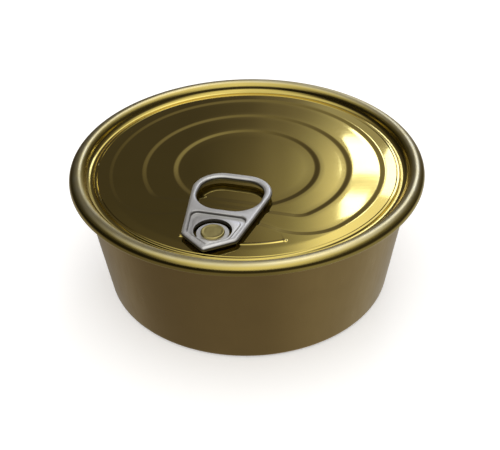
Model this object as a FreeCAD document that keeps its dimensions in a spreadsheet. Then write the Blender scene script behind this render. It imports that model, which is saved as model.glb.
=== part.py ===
"""Shallow drawn food can with an easy-open lid: can body, seamed lid and riveted pull tab.

Millimetres, +Z up.  The origin is the centre of the base, and the pull tab's nose points to -Y.
"""
import FreeCAD, Part

import math
import os

import Sketcher

# Driving dimensions.  Sizes that hang on another piece are steps or insets from it,
# so that the pieces keep meeting when one of these changes.
DRIVING = {
    # the can as a whole
    "can_height": 26.3,        # base to the top of the seam
    "seam_radius": 34.75,      # outside of the double seam
    # double seam and the flange it is rolled over
    "seam_width": 2.68,        # seam outside to the chuck wall's line, at the top
    "seam_height": 2.1,
    "seam_top_round": 1.5,
    "seam_inner_round": 1.5,
    "seam_hem_round": 0.5,
    "flange_step": 1.05,       # seam outside to the flange's edge
    "neck_step": 2.6,          # seam outside to the body's neck
    "shoulder_height": 0.8,    # flared neck under the seam
    "mouth_step": 2.15,        # seam outside to the mouth of the flange
    "plug_step": 2.85,         # seam outside to the foot of the lid's plug
    # drawn body
    "taper_run": 3.5,          # how much the wall narrows from neck to base
    "base_corner": 1.25,
    # countersink round the panel
    "groove_depth": 0.4,       # panel to the countersink's floor
    "groove_step": 3.42,       # seam outside to the foot of the chuck wall
    "groove_floor": 1.15,
    "groove_outer_round": 1.15,
    "groove_inner_round": 0.15,
    "panel_step": 0.26,        # slope of the countersink's inner wall
    "panel_round": 0.25,
    "panel_depth": 1.6,        # seam top to the panel
    "panel_fall": 0.12,        # how far the panel's border droops at its edge
    "fall_run": 2.5,
    # score that the lid tears along
    "score_inset": 0.5,
    "score_width": 0.22,
    "score_depth": 0.08,
    # three flattened steps down towards the middle of the panel
    "step_depth": 0.1,
    "step_slope": 1.3,         # width of each sloping flank
    "outer_step_inset": 2.62,  # panel edge to the outer step
    "middle_step_inset": 6.5,  # outer step to the middle step
    "inner_step_inset": 6.2,   # middle step to the inner step
    "outer_step_corner": 10.5,
    "middle_step_corner": 4.1,
    "inner_step_corner": 4.1,
    "outer_step_gap": 5.2,     # rivet to the front edge of each step
    "middle_step_gap": 8.7,
    "inner_step_gap": 10.75,
    "outer_step_bow": 36.0,    # radius of the outer step's hollow front
    # short ridges beside the nose, each with a knob at its outer end
    "ridge_gap": 2.2,          # rivet to the ridges, outwards
    "ridge_width": 0.8,
    "ridge_height": 0.08,
    "ridge_start": 7.0,        # degrees from the nose's line
    "ridge_end": 30.0,
    "stub_end": 12.4,       # the shorter ridge, nearly hidden by the tab
    "knob_radius": 0.5,
    "knob_height": 0.12,
    # rivet
    "rivet_inset": 6.32,       # panel edge to the rivet's axis
    "shank_radius": 1.55,
    "head_radius": 2.2,
    "head_height": 0.45,
    "shank_clearance": 0.05,
    # pull tab
    "tab_lift": 0.3,           # panel to the underside of the curled edge
    "tab_thickness": 1.1,
    "tab_round": 0.42,
    "tab_foot_round": 0.3,
    "ring_reach": 18.4,        # rivet to the far end of the ring
    "ring_half_width": 8.7,
    "ring_corner": 5.6,
    "shoulder_half_width": 5.25,
    "shoulder_reach": 2.3,     # rivet to the nose's shoulders
    "shoulder_round": 1.7,
    "nose_reach": 6.3,         # rivet to the nose's tip
    "nose_round": 0.7,
    "ring_rim": 2.5,           # side of the ring to the finger hole
    "ring_end": 1.65,          # far end of the ring to the finger hole
    "hole_near": 6.2,          # rivet to the finger hole
    "hole_far_flat": 2.1,      # straight half of the hole's far and near ends
    "hole_near_flat": 1.35,
    "web_depth": 0.6,
    "crossbar": 1.4,           # finger hole to the web
    "web_rim": 0.97,           # side of the tab to the web, measured across
    "web_near_step": 0.5,      # shoulders to the web's near corners, along the tab
    "nose_rim": 1.3,           # nose's tip to the web's tip
    "web_corner": 1.3,
    "web_tip_round": 0.6,
    "moat_width": 0.85,        # sunk border of the web
    "plateau_height": 0.17,
    "slit_width": 0.55,
    "slit_opening": 45.0,      # degrees either side of the nose's line
    "tongue_radius": 2.95,
    "tongue_thickness": 0.4,
}

DOC = FreeCAD.newDocument("pull_tab_can")
SHEET = DOC.addObject("Spreadsheet::Sheet", "Sizes")


class Size:
    """A length known both as a number and as the sheet expression that gives it."""

    def __init__(self, text, number):
        self.text = text
        self.number = number

    def _joined(self, sign, other, number):
        return Size(f"({self.text} {sign} {other.text})", number)

    def __add__(self, other):
        return self._joined("+", other, self.number + other.number)

    def __sub__(self, other):
        return self._joined("-", other, self.number - other.number)

    def __mul__(self, other):
        return self._joined("*", other, self.number * other.number)

    def __truediv__(self, other):
        return self._joined("/", other, self.number / other.number)

    def __neg__(self):
        return Size(f"(-1 * {self.text})", -self.number)

    def times(self, factor):
        """This length times a plain number."""
        return Size(f"({self.text} * {factor})", self.number * factor)


ZERO = Size("0", 0.0)
NOSE_ANGLE = Size("(-90)", -90.0)      # degrees from +X towards +Y
HALF_TURN = Size("180", 180.0)


def fill_sheet():
    """Writes the driving dimensions to the sheet and returns them as sizes, by name."""
    for row, (alias, number) in enumerate(DRIVING.items(), start=1):
        SHEET.set(f"A{row}", alias)
        SHEET.set(f"B{row}", str(number))
        SHEET.setAlias(f"B{row}", alias)
    DOC.recompute()
    return {alias: Size(f"Sizes.{alias}", number) for alias, number in DRIVING.items()}


S = fill_sheet()

# Levels and radii that two pieces share.
RIM_LEVEL = S["can_height"]
HEM_LEVEL = RIM_LEVEL - S["seam_height"]
PLUG_LEVEL = HEM_LEVEL - S["shoulder_height"]
PANEL_LEVEL = RIM_LEVEL - S["panel_depth"]
FLANGE_RADIUS = S["seam_radius"] - S["flange_step"]
MOUTH_RADIUS = S["seam_radius"] - S["mouth_step"]
NECK_RADIUS = S["seam_radius"] - S["neck_step"]
PLUG_RADIUS = S["seam_radius"] - S["plug_step"]
GROOVE_RADIUS = S["seam_radius"] - S["groove_step"]
PANEL_RADIUS = GROOVE_RADIUS - S["groove_floor"] - S["panel_step"]
RIVET_REACH = PANEL_RADIUS - S["rivet_inset"]
TONGUE_TOP = PANEL_LEVEL + S["tongue_thickness"]


# ---------------------------------------------------------------- sketch helpers

def new_body(name):
    """A PartDesign body whose label is its node's name."""
    body = DOC.addObject("PartDesign::Body", name)
    body.Label = name
    return body


def new_sketch(body, role, name, level=None):
    """A sketch on one of the body's own origin planes, lifted to a level along its normal."""
    sketch = body.newObject("Sketcher::SketchObject", name)
    plane = next(item for item in body.Origin.OriginFeatures if item.Role == role)
    sketch.AttachmentSupport = (plane, [""])
    sketch.MapMode = "FlatFace"
    if level is not None:
        sketch.setExpression("AttachmentOffset.Base.z", level.text)
    return sketch


def bind(sketch, name, kind, where, size):
    """Adds a named dimension that follows the sheet."""
    sketch.addConstraint(Sketcher.Constraint(kind, *where, size.number))
    index = sketch.ConstraintCount - 1
    sketch.renameConstraint(index, name)
    sketch.setExpression(f"Constraints.{name}", size.text)


def place_point(sketch, name, point, across, along):
    """Holds a sketch point (geometry, end) at two signed distances from the origin."""
    for letter, size, axis in (("X", across, -2), ("Y", along, -1)):
        if size.number == 0.0:
            sketch.addConstraint(Sketcher.Constraint("PointOnObject", *point, axis))
        elif size.number > 0.0:
            bind(sketch, f"{name}_{letter}", f"Distance{letter}", (-1, 1, *point), size)
        else:
            bind(sketch, f"{name}_{letter}", f"Distance{letter}", (*point, -1, 1), -size)


def polygon(sketch, corners):
    """A closed outline of straight lines through corners given as pairs of sizes."""
    points = [FreeCAD.Vector(across.number, along.number, 0) for across, along in corners]
    first = sketch.GeometryCount
    count = len(points)
    for index, point in enumerate(points):
        sketch.addGeometry(Part.LineSegment(point, points[(index + 1) % count]), False)
    for index in range(count):
        following = first + (index + 1) % count
        sketch.addConstraint(Sketcher.Constraint("Coincident", first + index, 2, following, 1))
    for index, (across, along) in enumerate(corners):
        place_point(sketch, f"corner_{first + index}", (first + index, 1), across, along)


def mirrored(corners):
    """Corners on the +X side, from -Y to +Y, followed by their mirror images."""
    return corners + [(-across, along, radius) for across, along, radius in reversed(corners)
                      if across.number > 0.0]


def rounded_polygon(sketch, corners):
    """A closed anticlockwise outline whose corners are given as across, along and radius."""
    places = [FreeCAD.Vector(across.number, along.number, 0) for across, along, _ in corners]
    count = len(corners)
    arcs, starts, ends = [], [], []
    for index, (_, _, radius) in enumerate(corners):
        place = places[index]
        back = (places[index - 1] - place).normalize()
        ahead = (places[(index + 1) % count] - place).normalize()
        half = back.getAngle(ahead) / 2
        ends.append(place + back * (radius.number / math.tan(half)))
        starts.append(place + ahead * (radius.number / math.tan(half)))
        centre = place + (back + ahead).normalize() * (radius.number / math.sin(half))
        first, last = ends[index] - centre, starts[index] - centre
        arcs.append(sketch.addGeometry(arc((centre.x, centre.y), radius.number,
                                           math.atan2(first.y, first.x),
                                           math.atan2(last.y, last.x)), False))
    for index in range(count):
        following = (index + 1) % count
        side = Part.LineSegment(starts[index], ends[following])
        line = sketch.addGeometry(side, False)
        sketch.addConstraint(Sketcher.Constraint("Tangent", arcs[index], 2, line, 1))
        sketch.addConstraint(Sketcher.Constraint("Tangent", line, 2, arcs[following], 1))
    for index, (across, along, radius) in enumerate(corners):
        point = sketch.addGeometry(Part.Point(places[index]), True)
        place_point(sketch, f"corner_{index}", (point, 1), across, along)
        for line in (arcs[-1] + 1 + (index - 1) % count, arcs[-1] + 1 + index):
            sketch.addConstraint(Sketcher.Constraint("PointOnObject", point, 1, line))
        bind(sketch, f"round_{index}", "Radius", (arcs[index],), radius)


def disc(sketch, radius, across=ZERO, along=ZERO):
    """A circle of a given radius at a given place."""
    centre = FreeCAD.Vector(across.number, along.number, 0)
    index = sketch.addGeometry(Part.Circle(centre, FreeCAD.Vector(0, 0, 1), radius.number), False)
    bind(sketch, f"radius_{index}", "Radius", (index,), radius)
    place_point(sketch, f"centre_{index}", (index, 3), across, along)


def arc(centre, radius, start, end):
    """A circular arc in a sketch's plane, anticlockwise between two angles in radians."""
    circle = Part.Circle(FreeCAD.Vector(*centre, 0), FreeCAD.Vector(0, 0, 1), radius)
    return Part.ArcOfCircle(circle, start, end)


def band(sketch, inner, outer, first, last):
    """A strip between two arcs about the origin and two radial lines, given in degrees."""
    angles = [math.radians(first.number), math.radians(last.number)]
    if angles[1] < angles[0]:
        angles[1] += 2 * math.pi
    inner_arc = sketch.addGeometry(arc((0, 0), inner.number, *angles), False)
    outer_arc = sketch.addGeometry(arc((0, 0), outer.number, *angles), False)
    for index, radius in ((inner_arc, inner), (outer_arc, outer)):
        sketch.addConstraint(Sketcher.Constraint("Coincident", index, 3, -1, 1))
        bind(sketch, f"radius_{index}", "Radius", (index,), radius)
    for end, angle, size in ((1, angles[0], first), (2, angles[1], last)):
        way = FreeCAD.Vector(math.cos(angle), math.sin(angle), 0)
        line = sketch.addGeometry(Part.LineSegment(way * inner.number, way * outer.number), False)
        sketch.addConstraint(Sketcher.Constraint("Coincident", line, 1, inner_arc, end))
        sketch.addConstraint(Sketcher.Constraint("Coincident", line, 2, outer_arc, end))
        sketch.addConstraint(Sketcher.Constraint("PointOnObject", -1, 1, line))
        sketch.addConstraint(Sketcher.Constraint("Angle", line, math.radians(size.number)))
        name = f"angle_{line}"
        sketch.renameConstraint(sketch.ConstraintCount - 1, name)
        sketch.setExpression(f"Constraints.{name}", f"{size.text} * 1 deg")


# ---------------------------------------------------------------- feature helpers

def revolve(body, name, corners):
    """Turns a closed outline in the XZ plane about the vertical axis."""
    sketch = new_sketch(body, "XZ_Plane", f"{name}_outline")
    polygon(sketch, corners)
    feature = body.newObject("PartDesign::Revolution", name)
    feature.Profile = sketch
    feature.ReferenceAxis = (sketch, ["V_Axis"])
    feature.Angle = 360.0
    DOC.recompute()
    return feature


def pad(body, name, sketch, height):
    """Raises a sketch upwards."""
    feature = body.newObject("PartDesign::Pad", name)
    feature.Profile = sketch
    feature.setExpression("Length", height.text)
    DOC.recompute()
    return feature


def pocket(body, name, sketch, depth):
    """Cuts a sketch downwards, and checks that something was taken away."""
    before = body.Shape.Volume
    feature = body.newObject("PartDesign::Pocket", name)
    feature.Profile = sketch
    feature.setExpression("Length", depth.text)
    DOC.recompute()
    if not body.Shape.Volume < before:
        raise RuntimeError(f"{name} cuts nothing")
    return feature


def fillet(body, name, base, edges, radius):
    """Rounds the named edges of a feature."""
    if not edges:
        raise RuntimeError(f"{name} finds no edge")
    feature = body.newObject("PartDesign::Fillet", name)
    feature.Base = (base, edges)
    feature.setExpression("Radius", radius.text)
    DOC.recompute()
    return feature


def edges_where(feature, test):
    """Names of the feature's edges that pass a test."""
    return [f"Edge{index}" for index, edge in enumerate(feature.Shape.Edges, start=1)
            if test(edge)]


def near(first, second):
    """True for two lengths that are equal within the modeller's accuracy."""
    return abs(first - second) < 1e-4


def ring_edges(feature, radius, level):
    """The circular edge about the can's axis at a radius and a height."""
    def test(edge):
        if not isinstance(edge.Curve, Part.Circle):
            return False
        return near(edge.Curve.Radius, radius.number) and near(edge.Curve.Center.z, level.number)
    return edges_where(feature, test)


def level_edges(feature, level):
    """The edges that lie in a level plane."""
    def test(edge):
        box = edge.BoundBox
        return near(box.ZMin, level.number) and near(box.ZMax, level.number)
    return edges_where(feature, test)


# ---------------------------------------------------------------- can body

def make_can_body():
    """Drawn cup with a tapered wall and a flared neck, filled and closed by the lid."""
    body = new_body("can_body")
    base_radius = NECK_RADIUS - S["taper_run"]
    cup = revolve(body, "cup", [
        (ZERO, ZERO),
        (base_radius, ZERO),
        (NECK_RADIUS, PLUG_LEVEL),
        (FLANGE_RADIUS, HEM_LEVEL),
        (MOUTH_RADIUS, HEM_LEVEL),
        (PLUG_RADIUS, PLUG_LEVEL),
        (ZERO, PLUG_LEVEL),
    ])
    fillet(body, "base_round", cup, ring_edges(cup, base_radius, ZERO), S["base_corner"])
    return body


# ---------------------------------------------------------------- lid

def flattened_circle(sketch, radius, front, corner, bow=None):
    """A circle about the origin whose -Y side is cut off, with rounded corners.

    The cut is a straight line at the front distance, or, with a bow, an arc of that
    radius whose hollow side faces -Y and whose nearest point is at the front distance.
    """
    main, turn, reach = radius.number, corner.number, front.number
    if bow is None:
        height = -(reach - turn)
        side = math.sqrt((main - turn) ** 2 - height ** 2)
        foot = -math.pi / 2
    else:
        depth = reach + bow.number
        gap, span = main - turn, bow.number + turn
        height = -(gap ** 2 - span ** 2 + depth ** 2) / (2 * depth)
        side = math.sqrt(gap ** 2 - height ** 2)
        foot = math.atan2(-depth - height, -side)
    lean = math.atan2(height, side)
    start, end = lean % (2 * math.pi), math.pi - lean
    foot = foot % (2 * math.pi)

    whole = sketch.addGeometry(arc((0, 0), main, start - 2 * math.pi, end), False)
    left = sketch.addGeometry(arc((-side, height), turn, end, 3 * math.pi - foot), False)
    if bow is None:
        points = [FreeCAD.Vector(sign * side, -reach, 0) for sign in (-1, 1)]
        cut = sketch.addGeometry(Part.LineSegment(*points), False)
        left_end, right_end = 1, 2
    else:
        swing = foot - math.pi
        span_arc = arc((0, -depth), bow.number, swing, math.pi - swing)
        cut = sketch.addGeometry(span_arc, False)
        left_end, right_end = 2, 1
    right = sketch.addGeometry(arc((side, height), turn, foot, start), False)

    sketch.addConstraint(Sketcher.Constraint("Coincident", whole, 3, -1, 1))
    sketch.addConstraint(Sketcher.Constraint("Tangent", whole, 2, left, 1))
    sketch.addConstraint(Sketcher.Constraint("Tangent", left, 2, cut, left_end))
    sketch.addConstraint(Sketcher.Constraint("Tangent", cut, right_end, right, 1))
    sketch.addConstraint(Sketcher.Constraint("Tangent", right, 2, whole, 1))
    sketch.addConstraint(Sketcher.Constraint("Equal", left, right))
    bind(sketch, "radius", "Radius", (whole,), radius)
    bind(sketch, "corner", "Radius", (left,), corner)
    if bow is None:
        sketch.addConstraint(Sketcher.Constraint("Horizontal", cut))
        bind(sketch, "front", "DistanceY", (cut, 1, -1, 1), front)
    else:
        sketch.addConstraint(Sketcher.Constraint("PointOnObject", cut, 3, -2))
        bind(sketch, "front", "DistanceY", (cut, 3, -1, 1), front + bow)
        bind(sketch, "bow", "Radius", (cut,), bow)


def sink_step(body, name, level, radius, front, corner, bow=None):
    """Sinks a flattened circle by one step, with a sloping flank all round."""
    slope = S["step_slope"]
    upper = new_sketch(body, "XY_Plane", f"{name}_edge", level)
    flattened_circle(upper, radius, front, corner, bow)
    lower = new_sketch(body, "XY_Plane", f"{name}_foot", level - S["step_depth"])
    inner_bow = None if bow is None else bow + slope
    flattened_circle(lower, radius - slope, front - slope, corner - slope, inner_bow)
    before = body.Shape.Volume
    feature = body.newObject("PartDesign::SubtractiveLoft", name)
    feature.Profile = upper
    feature.Sections = [lower]
    feature.Ruled = True
    DOC.recompute()
    if not body.Shape.Volume < before:
        raise RuntimeError(f"{name} cuts nothing")


def add_ridges(body):
    """A low ridge each side of the nose, with a round knob at its outer end."""
    radius = RIVET_REACH + S["ridge_gap"]
    half_width = S["ridge_width"].times(0.5)
    inner, outer = radius - half_width, radius + half_width
    sketch = new_sketch(body, "XY_Plane", "ridge_outline", PANEL_LEVEL)
    band(sketch, inner, outer, NOSE_ANGLE - S["stub_end"], NOSE_ANGLE - S["ridge_start"])
    band(sketch, inner, outer, NOSE_ANGLE + S["ridge_start"], NOSE_ANGLE + S["ridge_end"])
    pad(body, "ridges", sketch, S["ridge_height"])

    knobs = new_sketch(body, "XY_Plane", "knob_outline", PANEL_LEVEL)
    for end, side in (("stub_end", -1), ("ridge_end", 1)):
        turn = math.radians(S[end].number)
        turn_text = f"{S[end].text} * 1 deg"
        across = Size(f"({radius.text} * sin({turn_text}))", radius.number * math.sin(turn))
        along = Size(f"({radius.text} * cos({turn_text}))", radius.number * math.cos(turn))
        disc(knobs, S["knob_radius"], across if side > 0 else -across, -along)
    pad(body, "knobs", knobs, S["knob_height"])


def make_lid():
    """Seamed end: rolled seam, chuck wall, countersink, stepped panel, ridges and rivet."""
    body = new_body("lid")
    groove_level = PANEL_LEVEL - S["groove_depth"]
    edge_level = PANEL_LEVEL - S["panel_fall"]
    groove_inner = GROOVE_RADIUS - S["groove_floor"]
    seam_inner = S["seam_radius"] - S["seam_width"]
    shell = revolve(body, "end_profile", [
        (ZERO, PLUG_LEVEL),
        (PLUG_RADIUS, PLUG_LEVEL),
        (MOUTH_RADIUS, HEM_LEVEL),
        (S["seam_radius"], HEM_LEVEL),
        (S["seam_radius"], RIM_LEVEL),
        (seam_inner, RIM_LEVEL),
        (GROOVE_RADIUS, groove_level),
        (groove_inner, groove_level),
        (PANEL_RADIUS, edge_level),
        (PANEL_RADIUS - S["fall_run"], PANEL_LEVEL),
        (ZERO, PANEL_LEVEL),
    ])
    for name, radius, level, size in (
            ("seam_top", S["seam_radius"], RIM_LEVEL, "seam_top_round"),
            ("seam_hem", S["seam_radius"], HEM_LEVEL, "seam_hem_round"),
            ("seam_mouth", seam_inner, RIM_LEVEL, "seam_inner_round"),
            ("groove_outer", GROOVE_RADIUS, groove_level, "groove_outer_round"),
            ("groove_inner", groove_inner, groove_level, "groove_inner_round"),
            ("panel_edge", PANEL_RADIUS, edge_level, "panel_round")):
        shell = fillet(body, name, shell, ring_edges(shell, radius, level), S[size])

    score_radius = PANEL_RADIUS - S["score_inset"]
    half_score = S["score_width"].times(0.5)
    droop = S["panel_fall"] / S["fall_run"]
    score_level = edge_level + droop * S["score_inset"]
    score = new_sketch(body, "XZ_Plane", "score_outline")
    polygon(score, [
        (score_radius - half_score, score_level + droop * half_score),
        (score_radius, score_level - S["score_depth"]),
        (score_radius + half_score, score_level - droop * half_score),
    ])
    groove = body.newObject("PartDesign::Groove", "score_line")
    groove.Profile = score
    groove.ReferenceAxis = (score, ["V_Axis"])
    groove.Angle = 360.0
    DOC.recompute()
    if not body.Shape.Volume < shell.Shape.Volume:
        raise RuntimeError("score_line cuts nothing")

    outer = PANEL_RADIUS - S["outer_step_inset"]
    middle = outer - S["middle_step_inset"]
    inner = middle - S["inner_step_inset"]
    level = PANEL_LEVEL
    sink_step(body, "outer_step", level, outer, RIVET_REACH - S["outer_step_gap"],
              S["outer_step_corner"], S["outer_step_bow"])
    level = level - S["step_depth"]
    sink_step(body, "middle_step", level, middle, RIVET_REACH - S["middle_step_gap"],
              S["middle_step_corner"])
    level = level - S["step_depth"]
    sink_step(body, "inner_step", level, inner, RIVET_REACH - S["inner_step_gap"],
              S["inner_step_corner"])

    add_ridges(body)

    shank = new_sketch(body, "XY_Plane", "shank_outline", PANEL_LEVEL)
    disc(shank, S["shank_radius"], ZERO, -RIVET_REACH)
    pad(body, "shank", shank, S["tongue_thickness"])
    head = new_sketch(body, "XY_Plane", "head_outline", TONGUE_TOP)
    disc(head, S["head_radius"], ZERO, -RIVET_REACH)
    pad(body, "head", head, S["head_height"])
    return body


# ---------------------------------------------------------------- pull tab

def tab_half_width(along):
    """Half the tab's width at a distance from the rivet towards the ring."""
    flare = S["ring_half_width"] - S["shoulder_half_width"]
    run = S["ring_reach"] + S["shoulder_reach"]
    return S["shoulder_half_width"] + flare * (along + S["shoulder_reach"]) / run


def make_pull_tab():
    """Ring, curled edge, sunk web and slit tongue, with the rivet's axis as its origin."""
    body = new_body("pull_tab")
    top = S["tab_lift"] + S["tab_thickness"]
    outline = new_sketch(body, "XY_Plane", "tab_outline", S["tab_lift"])
    rounded_polygon(outline, mirrored([
        (ZERO, -S["nose_reach"], S["nose_round"]),
        (S["shoulder_half_width"], -S["shoulder_reach"], S["shoulder_round"]),
        (S["ring_half_width"], S["ring_reach"], S["ring_corner"]),
    ]))
    pad(body, "blank", outline, S["tab_thickness"])
    hole = new_sketch(body, "XY_Plane", "hole_outline", top)
    hole_half_width = S["ring_half_width"] - S["ring_rim"]
    rounded_polygon(hole, mirrored([
        (hole_half_width, S["hole_near"], hole_half_width - S["hole_near_flat"]),
        (hole_half_width, S["ring_reach"] - S["ring_end"], hole_half_width - S["hole_far_flat"]),
    ]))
    shape = pocket(body, "finger_hole", hole, S["tab_thickness"])
    shape = fillet(body, "curled_top", shape, level_edges(shape, top), S["tab_round"])
    lower_edges = level_edges(shape, S["tab_lift"])
    fillet(body, "curled_foot", shape, lower_edges, S["tab_foot_round"])

    web = new_sketch(body, "XY_Plane", "web_outline", top)
    web_tip = S["nose_rim"] - S["nose_reach"]
    web_near = S["web_near_step"] - S["shoulder_reach"]
    web_far = S["hole_near"] - S["crossbar"]
    near_half_width = tab_half_width(web_near) - S["web_rim"]
    far_half_width = tab_half_width(web_far) - S["web_rim"]
    rounded_polygon(web, mirrored([
        (ZERO, web_tip, S["web_tip_round"]),
        (near_half_width, web_near, S["web_corner"]),
        (far_half_width, web_far, S["web_corner"]),
    ]))
    pocket(body, "web", web, S["web_depth"])
    moat = S["moat_width"]
    plateau = new_sketch(body, "XY_Plane", "plateau_outline", top - S["web_depth"])
    rounded_polygon(plateau, mirrored([
        (ZERO, web_tip + moat, S["web_tip_round"]),
        (near_half_width - moat, web_near, S["web_corner"]),
        (far_half_width - moat, web_far - moat, S["web_corner"]),
    ]))
    pad(body, "plateau", plateau, S["plateau_height"])

    plateau_top = top - S["web_depth"] + S["plateau_height"]
    sunk = new_sketch(body, "XY_Plane", "tongue_outline", plateau_top)
    disc(sunk, S["tongue_radius"])
    pocket(body, "tongue_top", sunk, plateau_top - S["tongue_thickness"])
    foot = new_sketch(body, "XY_Plane", "foot_outline")
    disc(foot, S["tongue_radius"] + S["slit_width"])
    pad(body, "tongue_foot", foot, S["tongue_thickness"])

    slit = new_sketch(body, "XY_Plane", "slit_outline", plateau_top)
    band(slit, S["tongue_radius"], S["tongue_radius"] + S["slit_width"],
         NOSE_ANGLE + S["slit_opening"], HALF_TURN - (NOSE_ANGLE + S["slit_opening"]))
    pocket(body, "tongue_slit", slit, plateau_top)

    bore = new_sketch(body, "XY_Plane", "bore_outline", S["tongue_thickness"])
    disc(bore, S["shank_radius"] + S["shank_clearance"])
    pocket(body, "rivet_bore", bore, S["tongue_thickness"])

    body.setExpression("Placement.Base.y", (-RIVET_REACH).text)
    body.setExpression("Placement.Base.z", PANEL_LEVEL.text)
    return body


def check_objects():
    """Stops if any object of the document failed to build."""
    for item in DOC.Objects:
        if "Invalid" in item.State or "Error" in item.State:
            raise RuntimeError(f"{item.Name} failed: {item.State}")


def main():
    """Builds the pieces, checks them and writes one STEP file for each."""
    bodies = [make_can_body(), make_lid(), make_pull_tab()]
    DOC.recompute()
    check_objects()
    for body in bodies:
        if body.Shape.isNull() or not body.Shape.isValid() or len(body.Shape.Solids) != 1:
            raise RuntimeError(f"{body.Label} isn't one valid solid")
    os.makedirs("parts", exist_ok=True)
    for body in bodies:
        body.Shape.exportStep(f"parts/{body.Label}.step")
        box = body.Shape.BoundBox
        print(f"{body.Label}: {body.Shape.Volume:.1f} mm3, x {box.XMin:.2f} to {box.XMax:.2f}, "
              f"y {box.YMin:.2f} to {box.YMax:.2f}, z {box.ZMin:.2f} to {box.ZMax:.2f}")


main()
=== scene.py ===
"""Looks of a shallow seamed can with a riveted pull tab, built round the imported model.

The can stands on its base at the origin, +Z up, with the tab's nose towards -Y.  Meshes are
laid out in millimetres and written in metres.
"""

import logging
import math
from dataclasses import dataclass
from enum import Enum
from typing import Dict, List, Optional, Sequence, Tuple, Union

import bpy
import numpy as np
from mathutils import Matrix, Vector
from mathutils.geometry import tessellate_polygon


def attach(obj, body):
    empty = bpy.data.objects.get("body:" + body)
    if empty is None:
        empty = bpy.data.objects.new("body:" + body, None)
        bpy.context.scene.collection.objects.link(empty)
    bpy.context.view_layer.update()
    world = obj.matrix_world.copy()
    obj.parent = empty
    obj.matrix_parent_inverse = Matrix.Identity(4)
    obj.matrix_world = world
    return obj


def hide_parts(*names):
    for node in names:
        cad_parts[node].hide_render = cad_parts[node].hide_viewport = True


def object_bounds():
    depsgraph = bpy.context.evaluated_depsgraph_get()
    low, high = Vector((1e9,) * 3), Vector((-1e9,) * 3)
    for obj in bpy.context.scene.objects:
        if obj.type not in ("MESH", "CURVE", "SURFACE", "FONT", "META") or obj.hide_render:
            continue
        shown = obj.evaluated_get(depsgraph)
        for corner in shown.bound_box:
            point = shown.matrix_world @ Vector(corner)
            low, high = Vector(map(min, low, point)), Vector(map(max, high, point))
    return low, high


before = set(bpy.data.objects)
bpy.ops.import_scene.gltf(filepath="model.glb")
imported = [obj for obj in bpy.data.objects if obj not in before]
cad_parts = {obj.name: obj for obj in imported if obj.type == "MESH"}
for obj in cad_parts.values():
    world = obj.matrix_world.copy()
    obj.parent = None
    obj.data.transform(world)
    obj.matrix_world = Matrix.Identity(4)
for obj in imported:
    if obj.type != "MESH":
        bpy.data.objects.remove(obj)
CAD_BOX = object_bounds()

LOG = logging.getLogger("can")
MM = 0.001
RIM_LEVEL = CAD_BOX[1].z / MM  # top of the seam
SEAM_RADIUS = (CAD_BOX[1].x - CAD_BOX[0].x) / 2 / MM
VIEW_TURN = 15.5  # degrees from the nose round to the camera

Colour = Tuple[float, float, float]
Point = Tuple[float, float]
Array = np.ndarray
Input = Union["Signal", float, Tuple[float, ...]]

UPWARD = (0.0, 0.0, 1.0)
WHITE: Colour = (1.0, 1.0, 1.0)
PAINTED_SHADE_COLOUR: Colour = (0.05, 0.045, 0.035)  # painted shade: near-black colour painted where the tab's curled edge shades itself
FINE = 3.0  # layers of detail in fine noise
SHARP_ANGLE = 35.0  # degrees above which an edge stays sharp
HALVINGS = 40  # of the span in which an edge is looked for


# ---- shader arithmetic

class Signal:
    """A node's output, which takes part in arithmetic like a number."""

    def __init__(self, tree: "Tree", output: bpy.types.NodeSocket) -> None:
        """Keeps the output socket and the tree that new nodes go to."""
        self.tree = tree
        self.output = output

    @property
    def wide(self) -> bool:
        """True for a colour or a vector."""
        return self.output.type in {"VECTOR", "RGBA"}

    def _join(self, operation: str, first: Input, second: Input) -> "Signal":
        """Joins two inputs in a Math node, or a Vector Math node if either is wide.

        Args:
            operation: the node's operation.
            first: the left-hand input.
            second: the right-hand input.

        Returns:
            The result.
        """
        wide = any(isinstance(item, Signal) and item.wide for item in (first, second))
        kind = "ShaderNodeVectorMath" if wide else "ShaderNodeMath"
        return self.tree.add(kind, {"operation": operation}, {0: first, 1: second})

    def __add__(self, other: Input) -> "Signal":
        """self + other."""
        return self._join("ADD", self, other)

    def __radd__(self, other: Input) -> "Signal":
        """other + self."""
        return self._join("ADD", other, self)

    def __sub__(self, other: Input) -> "Signal":
        """self - other."""
        return self._join("SUBTRACT", self, other)

    def __rsub__(self, other: Input) -> "Signal":
        """other - self."""
        return self._join("SUBTRACT", other, self)

    def __mul__(self, other: Input) -> "Signal":
        """self * other."""
        return self._join("MULTIPLY", self, other)

    def dot(self, direction: Sequence[float]) -> "Signal":
        """How far a vector reaches along a direction.

        Args:
            direction: the direction, as three numbers.

        Returns:
            The dot product.
        """
        settings = {"operation": "DOT_PRODUCT"}
        return self.tree.add("ShaderNodeVectorMath", settings, {0: self, 1: tuple(direction)},
                             "Value")

    def rise(self, low: float, high: float) -> "Signal":
        """Rises smoothly from 0 to 1 as the value goes from low to high.

        Args:
            low: the value that gives 0.
            high: the value that gives 1, which may be the smaller of the two.

        Returns:
            The share from 0 to 1.
        """
        ends = (low, high, 0.0, 1.0) if low < high else (high, low, 1.0, 0.0)
        inputs = dict(zip(("From Min", "From Max", "To Min", "To Max"), ends))
        settings = {"interpolation_type": "SMOOTHSTEP", "clamp": True}
        return self.tree.add("ShaderNodeMapRange", settings, {"Value": self, **inputs})


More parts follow.
